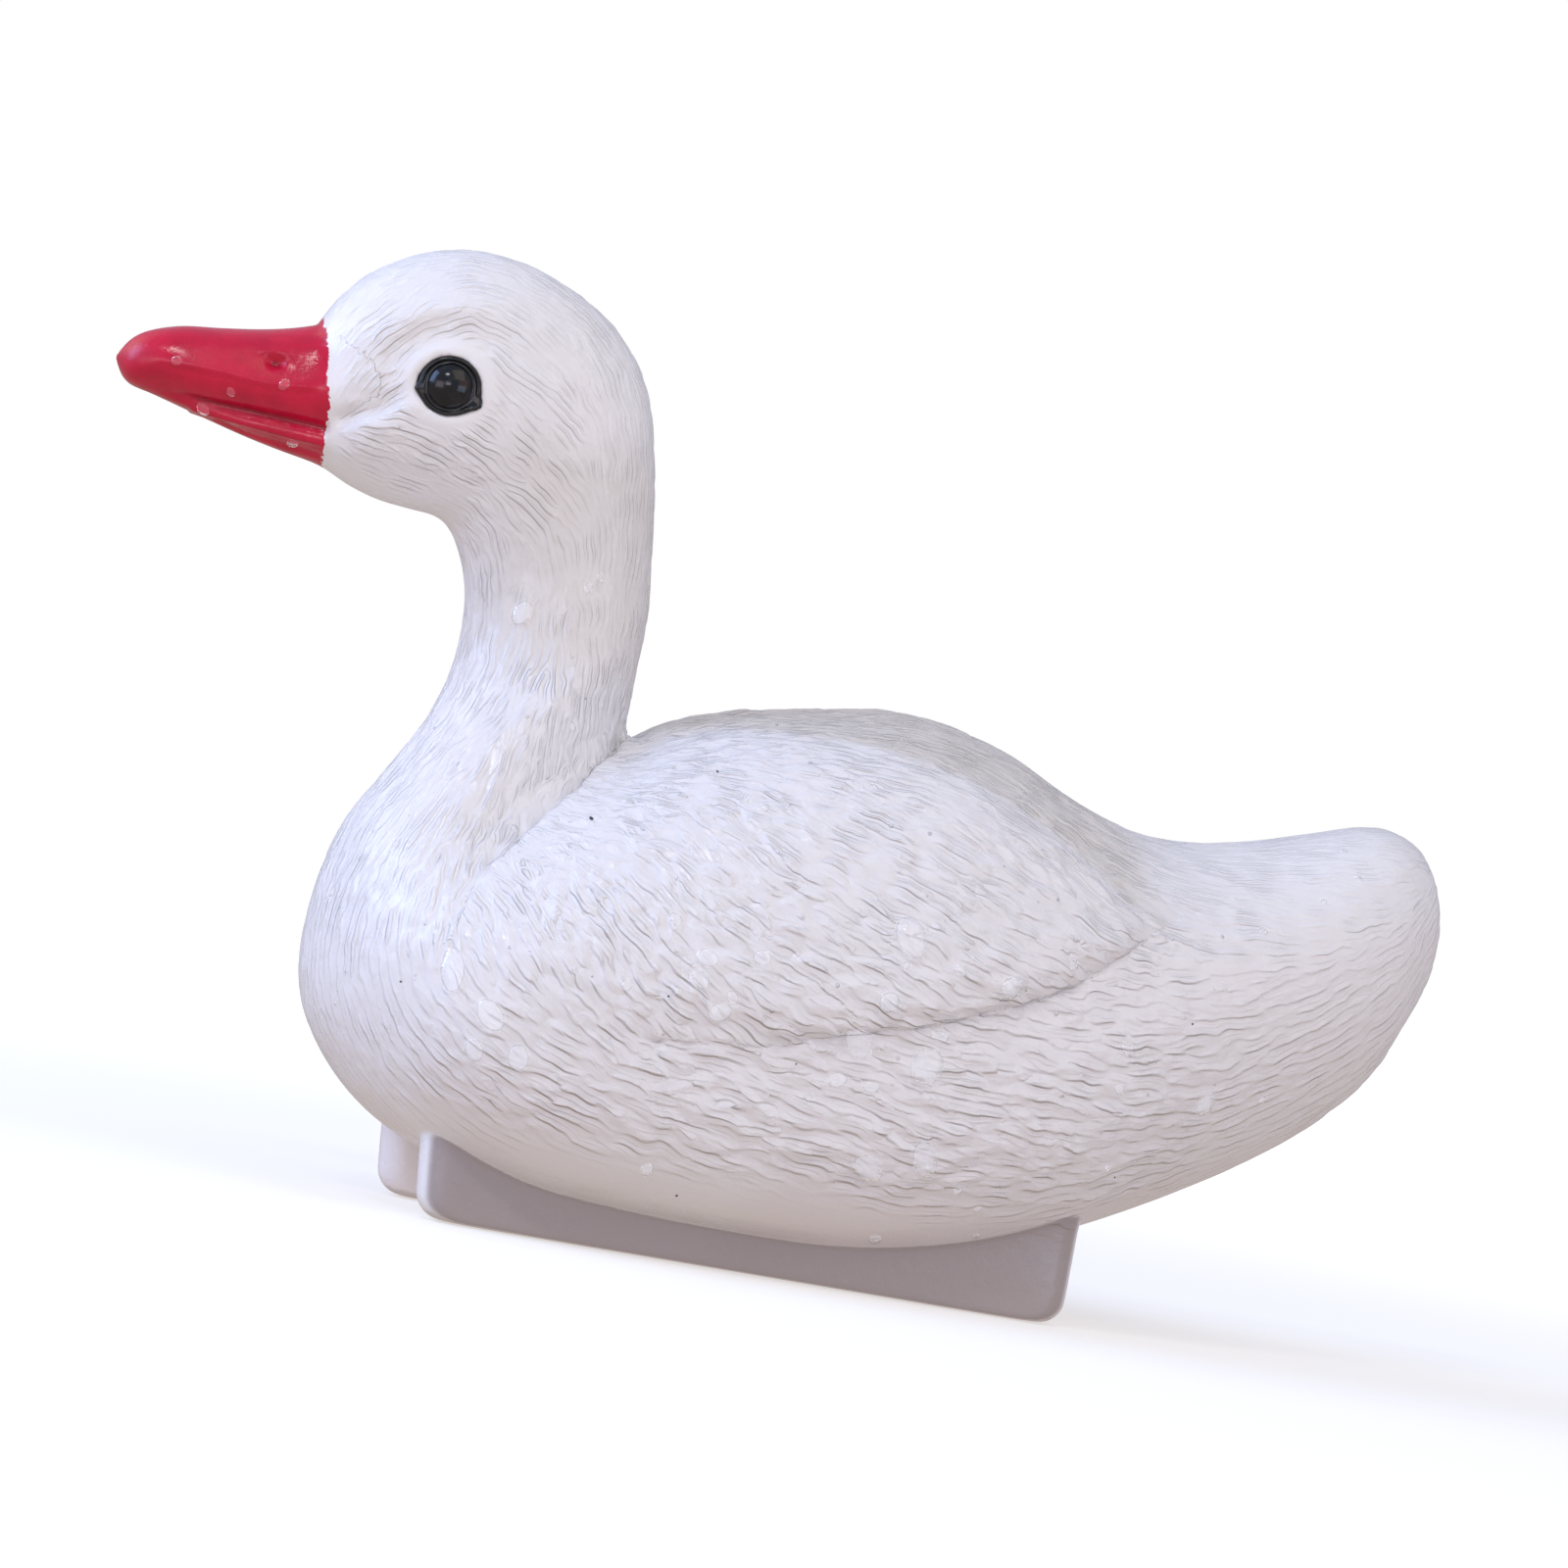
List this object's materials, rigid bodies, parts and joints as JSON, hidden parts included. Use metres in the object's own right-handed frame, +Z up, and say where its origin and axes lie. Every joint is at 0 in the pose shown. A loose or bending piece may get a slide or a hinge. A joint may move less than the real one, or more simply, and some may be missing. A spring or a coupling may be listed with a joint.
{
  "type": "swan decoy",
  "caption": "Hollow moulded white swan decoy with a red beak, black inset eyes, folded wings and belly runners that it stands on.",
  "frame": {"origin": "on the ground under the middle of the swan's box, in the plane of the runners' undersides", "axes": "+Z up, -X towards the beak, +X towards the tail, -Y towards the swan's left side"},
  "size_m": [0.24, 0.104, 0.1577],
  "materials": {
    "swan_skin": "white moulded plastic with feather relief, semi-gloss, the beak painted crimson",
    "eye_black": "polished black",
    "clear_water": "clear drops of water that lie on the skin"
  },
  "bodies": {
    "root": {"swan_body": "swan_skin", "left_eye": "eye_black", "right_eye": "eye_black"}
  },
  "joints": []
}
